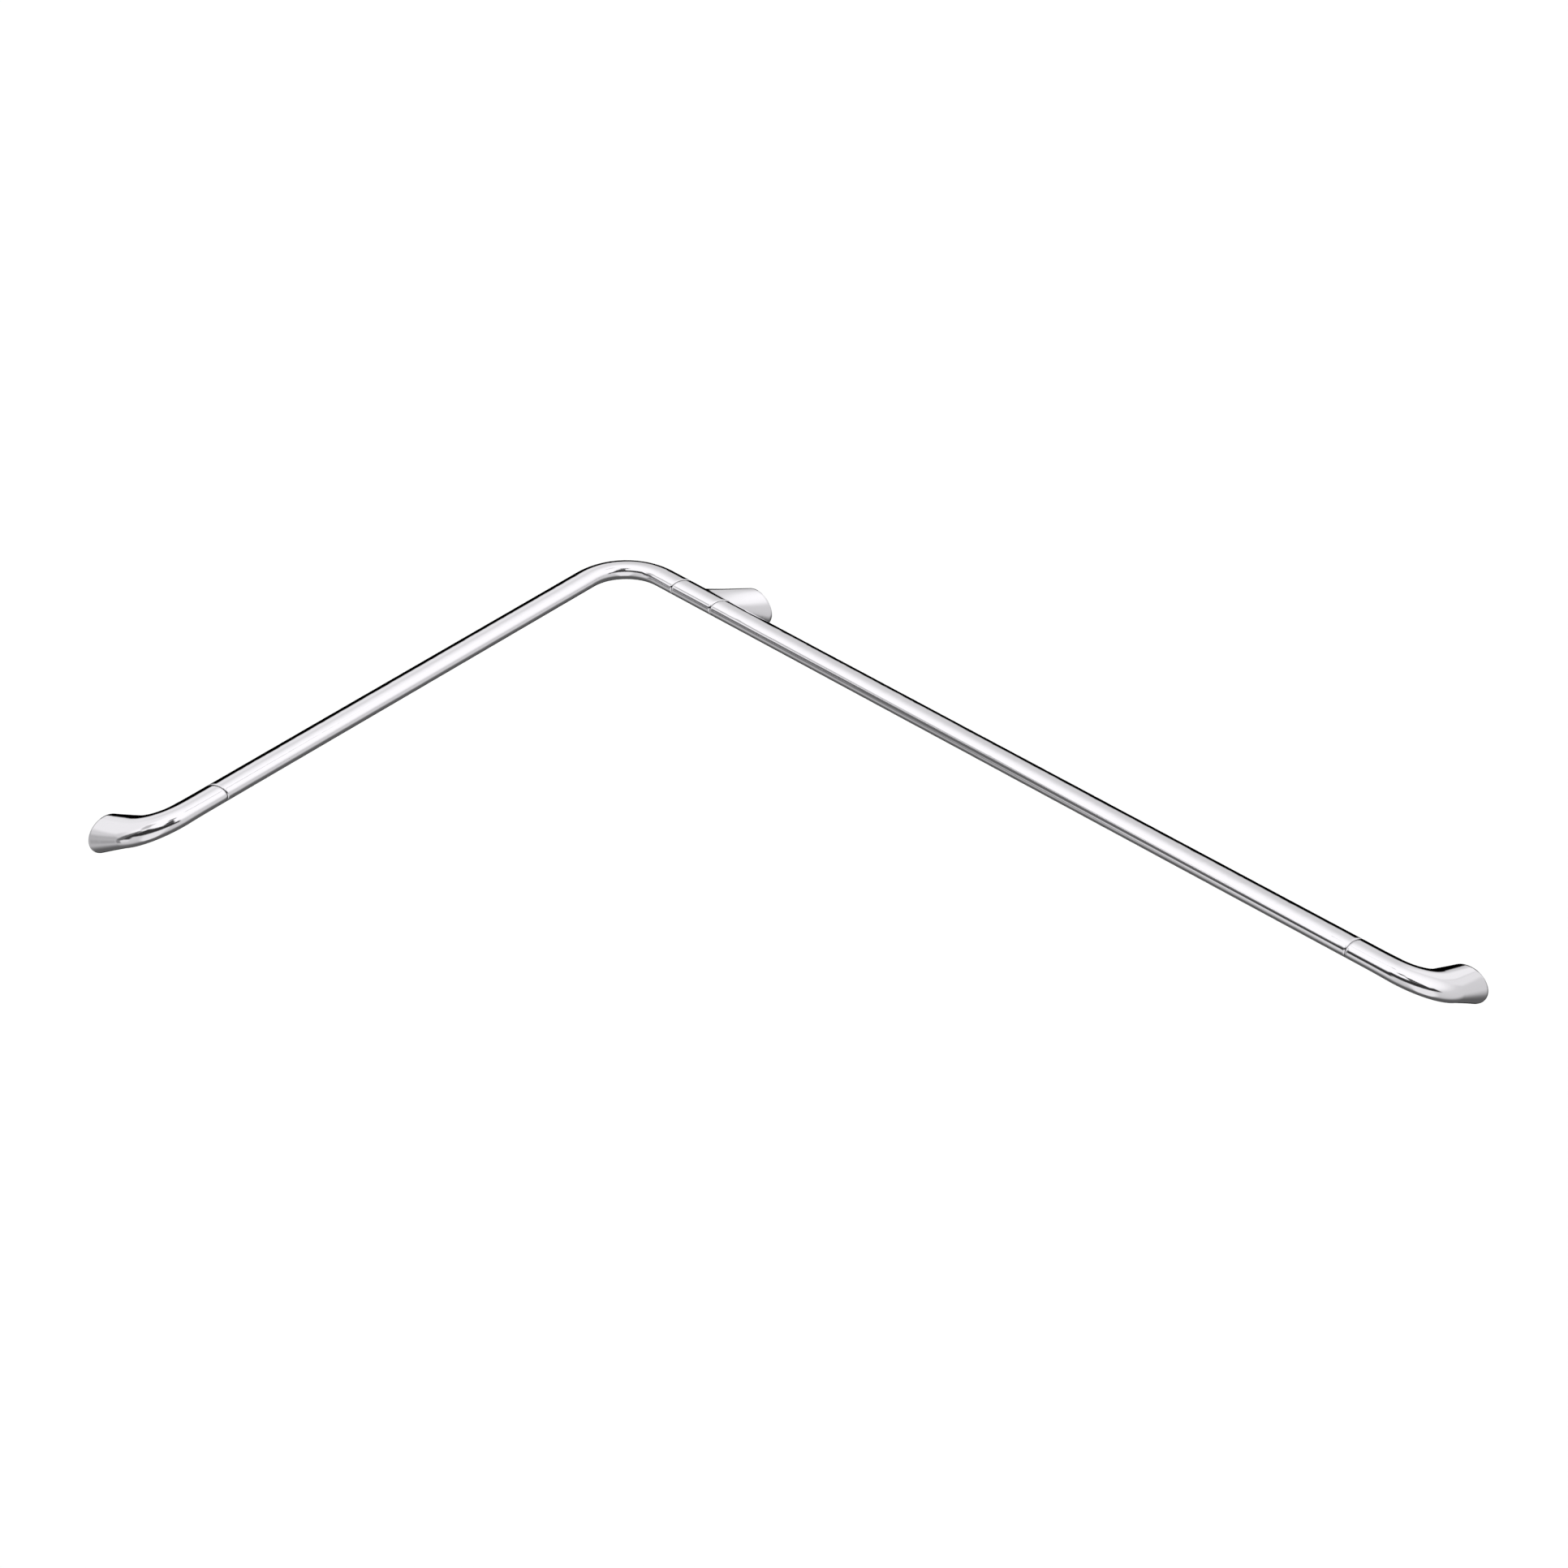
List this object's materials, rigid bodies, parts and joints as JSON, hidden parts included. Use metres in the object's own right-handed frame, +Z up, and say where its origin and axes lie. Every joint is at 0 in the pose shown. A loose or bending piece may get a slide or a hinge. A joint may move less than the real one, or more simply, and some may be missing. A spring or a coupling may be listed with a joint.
{
  "type": "corner grab bar",
  "caption": "Corner grab bar for a bath or shower: an oval chromed rail that turns round the corner of a room on cast brackets with round wall feet and hidden wall plates.",
  "frame": {"origin": "centre of the middle wall plate's back face, on the long wall", "axes": "+X along the long wall away from the corner, +Y into the long wall, +Z up; the short arm runs towards -Y and its wall is at the low X end"},
  "size_m": [0.9, 0.6, 0.0572],
  "materials": {
    "polished_chrome_tube": "polished chrome plate on metal tube",
    "polished_chrome_casting": "polished chrome plate on a metal casting",
    "plate_steel": "plain stainless plate",
    "screw_steel": "plain stainless screw"
  },
  "bodies": {
    "root": {"corner_tube": "polished_chrome_tube", "long_tube": "polished_chrome_tube", "left_end_bracket": "polished_chrome_casting", "middle_bracket": "polished_chrome_casting", "right_end_bracket": "polished_chrome_casting", "left_wall_plate": "plate_steel", "middle_wall_plate": "plate_steel", "right_wall_plate": "plate_steel", "left_foot_screw": "screw_steel", "middle_foot_screw": "screw_steel", "right_foot_screw": "screw_steel", "left_joint_screw": "screw_steel", "corner_joint_screw": "screw_steel", "middle_joint_screw": "screw_steel", "right_joint_screw": "screw_steel"}
  },
  "joints": []
}
